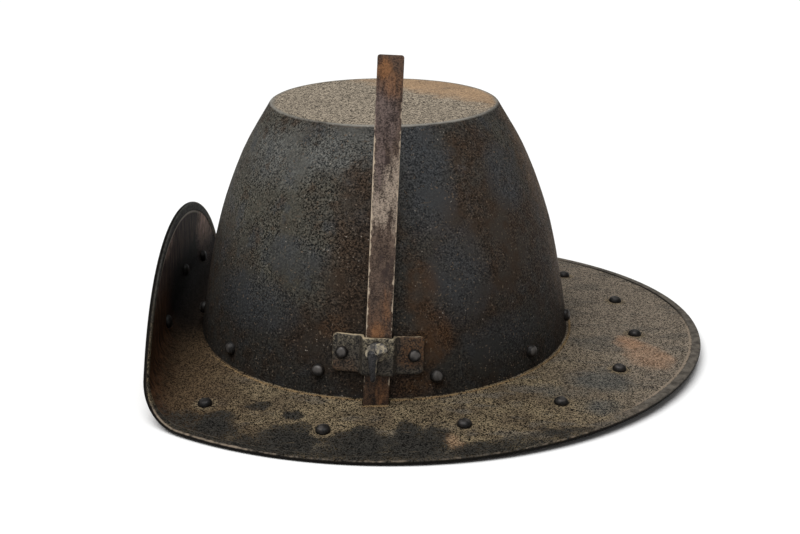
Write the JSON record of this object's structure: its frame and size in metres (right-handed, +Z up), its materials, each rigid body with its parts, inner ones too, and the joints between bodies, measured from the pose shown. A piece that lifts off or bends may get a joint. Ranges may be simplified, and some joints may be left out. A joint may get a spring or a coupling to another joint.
{
  "type": "kettle hat",
  "caption": "Iron hat with a flat-topped crown riveted to a wide brim turned up on one side, and a flat nasal bar that slides in a bracket under a thumb screw.",
  "frame": {"origin": "under the middle of the hat's box, on the surface that its brim stands on", "axes": "+Z up through the crown, -Y the front with the nasal bar, -X the side of the brim that is turned up"},
  "size_m": [0.2784, 0.3204, 0.1627],
  "materials": {
    "crown_iron": "dark, finely pitted forged iron with brown rust",
    "brim_iron": "dusty brown pitted iron with dark bare patches",
    "bar_iron": "brown rusted iron with bright worn edges",
    "fitting_iron": "dark rusted forged iron"
  },
  "bodies": {
    "hat": {"bracket": "fitting_iron", "bracket_rivet_01": "fitting_iron", "bracket_rivet_02": "fitting_iron", "brim": "brim_iron", "brim_rivet_01": "fitting_iron", "brim_rivet_02": "fitting_iron", "brim_rivet_03": "fitting_iron", "brim_rivet_04": "fitting_iron", "brim_rivet_05": "fitting_iron", "brim_rivet_06": "fitting_iron", "brim_rivet_07": "fitting_iron", "brim_rivet_08": "fitting_iron", "brim_rivet_09": "fitting_iron", "brim_rivet_10": "fitting_iron", "brim_rivet_11": "fitting_iron", "brim_rivet_12": "fitting_iron", "brim_rivet_13": "fitting_iron", "brim_rivet_14": "fitting_iron", "brim_rivet_15": "fitting_iron", "brim_rivet_16": "fitting_iron", "crown": "crown_iron", "crown_rivet_01": "fitting_iron", "crown_rivet_02": "fitting_iron", "crown_rivet_03": "fitting_iron", "crown_rivet_04": "fitting_iron", "crown_rivet_05": "fitting_iron", "crown_rivet_06": "fitting_iron", "crown_rivet_07": "fitting_iron", "crown_rivet_08": "fitting_iron", "crown_rivet_09": "fitting_iron", "crown_rivet_10": "fitting_iron", "crown_rivet_11": "fitting_iron"},
    "nasal": {"nasal_bar": "bar_iron"},
    "screw": {"thumb_screw": "fitting_iron"}
  },
  "joints": [
    {"name": "nasal_slide", "type": "slide", "parent": "hat", "child": "nasal", "axis": [0.0454, 0.139, 0.9892], "range_m": [-0.115, 0]},
    {"name": "screw_turn", "type": "hinge", "parent": "hat", "child": "screw", "pos_m": [-0.02794, -0.11276, 0.03276], "axis": [0, -0.9903, 0.1392], "range_deg": [0, 270]}
  ]
}
